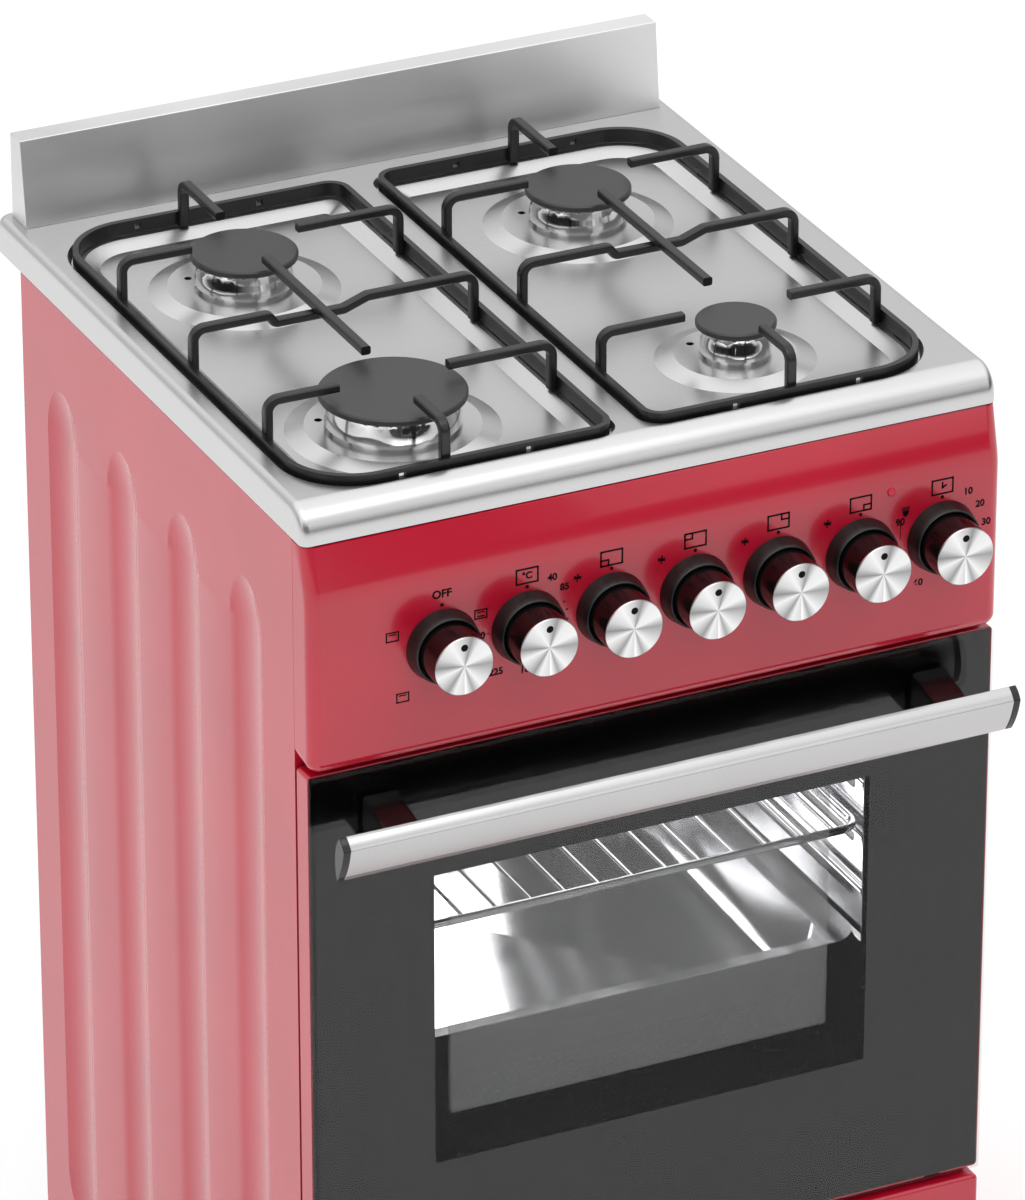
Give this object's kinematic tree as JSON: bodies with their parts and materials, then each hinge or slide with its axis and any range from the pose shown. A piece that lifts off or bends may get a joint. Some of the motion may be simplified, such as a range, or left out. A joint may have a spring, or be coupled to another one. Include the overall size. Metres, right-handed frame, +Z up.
{
  "type": "freestanding gas range",
  "caption": "Freestanding slot-in cooker with red enamel sides, a stainless gas hob with black pan supports, a row of round knobs, and a dark glass oven door over a drawer.",
  "frame": {"origin": "on the floor, under the middle of the overall box", "axes": "+X to the right as seen from the front, +Y towards the back, +Z up; the door and knobs face -Y"},
  "size_m": [0.5, 0.563, 0.912],
  "materials": {
    "red_enamel": "glossy",
    "stainless": "satin",
    "zinc_steel": "matte",
    "black_enamel": "semi_gloss",
    "bright_steel": "polished",
    "wool": "matte",
    "black_rubber": "matte",
    "burner_aluminium": "satin",
    "cap_enamel": "matte",
    "brass": "satin",
    "pipe_steel": "satin",
    "tube_aluminium": "satin",
    "black_plastic": "glossy",
    "turned_aluminium": "satin",
    "glass": "glossy",
    "red_lens": "glossy"
  },
  "bodies": {
    "cabinet": {"side_panel_left": "red_enamel", "side_panel_right": "red_enamel", "back_panel": "zinc_steel", "base_frame": "zinc_steel", "feet": "black_plastic", "front_frame": "black_enamel", "oven_cavity": "black_enamel", "oven_insulation": "wool", "door_seal": "black_rubber", "oven_heaters": "stainless", "oven_lamp": "glass", "side_racks": "bright_steel", "hob_top": "stainless", "splashback": "stainless", "burner_cups": "burner_aluminium", "burner_heads": "burner_aluminium", "burner_caps": "cap_enamel", "spark_electrodes": "bright_steel", "control_panel": "red_enamel", "indicator_lamp": "red_lens", "knob_bezels": "black_plastic", "gas_taps": "brass", "gas_manifold": "pipe_steel", "gas_supply_tubes": "tube_aluminium", "oven_controls": "black_plastic", "hinge_arms": "zinc_steel"},
    "door": {"door_glass": "glass", "door_frame": "red_enamel", "door_liner": "black_enamel", "door_inner_glass": "glass", "door_hinges": "zinc_steel", "handle_bar": "turned_aluminium", "handle_end_caps": "black_plastic", "handle_brackets": "black_plastic"},
    "drawer": {"drawer_front": "red_enamel", "drawer_box": "zinc_steel"},
    "shelf": {"wire_shelf": "stainless"},
    "tray": {"baking_tray": "stainless"},
    "left_grate": {"grate_left": "black_enamel", "grate_pads_left": "black_rubber"},
    "right_grate": {"grate_right": "black_enamel", "grate_pads_right": "black_rubber"},
    "selector_knob_body": {"selector_knob": "black_plastic", "selector_knob_face": "turned_aluminium"},
    "thermostat_knob_body": {"thermostat_knob": "black_plastic", "thermostat_knob_face": "turned_aluminium"},
    "front_left_plug": {"front_left_tap_plug": "brass"},
    "front_left_knob_body": {"front_left_knob": "black_plastic", "front_left_knob_face": "turned_aluminium"},
    "rear_left_plug": {"rear_left_tap_plug": "brass"},
    "rear_left_knob_body": {"rear_left_knob": "black_plastic", "rear_left_knob_face": "turned_aluminium"},
    "rear_right_plug": {"rear_right_tap_plug": "brass"},
    "rear_right_knob_body": {"rear_right_knob": "black_plastic", "rear_right_knob_face": "turned_aluminium"},
    "front_right_plug": {"front_right_tap_plug": "brass"},
    "front_right_knob_body": {"front_right_knob": "black_plastic", "front_right_knob_face": "turned_aluminium"},
    "timer_knob_body": {"timer_knob": "black_plastic", "timer_knob_face": "turned_aluminium"}
  },
  "joints": [
    {"name": "door_hinge", "type": "hinge", "parent": "cabinet", "child": "door", "pos_m": [0, -0.2285, 0.252], "axis": [1, 0, 0], "range_deg": [0, 90]},
    {"name": "drawer_slide", "type": "slide", "parent": "cabinet", "child": "drawer", "axis": [0, -1, 0], "range_m": [0, 0.3]},
    {"name": "shelf_slide", "type": "slide", "parent": "cabinet", "child": "shelf", "axis": [0, -1, 0], "range_m": [0, 0.02]},
    {"name": "tray_slide", "type": "slide", "parent": "cabinet", "child": "tray", "axis": [0, -1, 0], "range_m": [0, 0.02]},
    {"name": "left_grate_lift", "type": "slide", "parent": "cabinet", "child": "left_grate", "axis": [0, 0, 1], "range_m": [0, 0.07]},
    {"name": "right_grate_lift", "type": "slide", "parent": "cabinet", "child": "right_grate", "axis": [0, 0, 1], "range_m": [0, 0.07]},
    {"name": "selector_turn", "type": "hinge", "parent": "cabinet", "child": "selector_knob_body", "pos_m": [-0.1572, 0, 0.7415], "axis": [0, -1, 0], "continuous": true},
    {"name": "thermostat_turn", "type": "hinge", "parent": "cabinet", "child": "thermostat_knob_body", "pos_m": [-0.0968, 0, 0.7415], "axis": [0, -1, 0], "range_deg": [-290, 0]},
    {"name": "front_left_gas_turn", "type": "hinge", "parent": "cabinet", "child": "front_left_plug", "pos_m": [-0.0364, 0, 0.7415], "axis": [0, -1, 0], "range_deg": [0, 150]},
    {"name": "front_left_gas_push", "type": "slide", "parent": "front_left_plug", "child": "front_left_knob_body", "axis": [0, 1, 0], "range_m": [0, 0.004], "stiffness_N_per_m": 600},
    {"name": "rear_left_gas_turn", "type": "hinge", "parent": "cabinet", "child": "rear_left_plug", "pos_m": [0.024, 0, 0.7415], "axis": [0, -1, 0], "range_deg": [0, 150]},
    {"name": "rear_left_gas_push", "type": "slide", "parent": "rear_left_plug", "child": "rear_left_knob_body", "axis": [0, 1, 0], "range_m": [0, 0.004], "stiffness_N_per_m": 600},
    {"name": "rear_right_gas_turn", "type": "hinge", "parent": "cabinet", "child": "rear_right_plug", "pos_m": [0.0844, 0, 0.7415], "axis": [0, -1, 0], "range_deg": [0, 150]},
    {"name": "rear_right_gas_push", "type": "slide", "parent": "rear_right_plug", "child": "rear_right_knob_body", "axis": [0, 1, 0], "range_m": [0, 0.004], "stiffness_N_per_m": 600},
    {"name": "front_right_gas_turn", "type": "hinge", "parent": "cabinet", "child": "front_right_plug", "pos_m": [0.1448, 0, 0.7415], "axis": [0, -1, 0], "range_deg": [0, 150]},
    {"name": "front_right_gas_push", "type": "slide", "parent": "front_right_plug", "child": "front_right_knob_body", "axis": [0, 1, 0], "range_m": [0, 0.004], "stiffness_N_per_m": 600},
    {"name": "timer_turn", "type": "hinge", "parent": "cabinet", "child": "timer_knob_body", "pos_m": [0.2052, 0, 0.7415], "axis": [0, -1, 0], "range_deg": [-300, 0]}
  ]
}
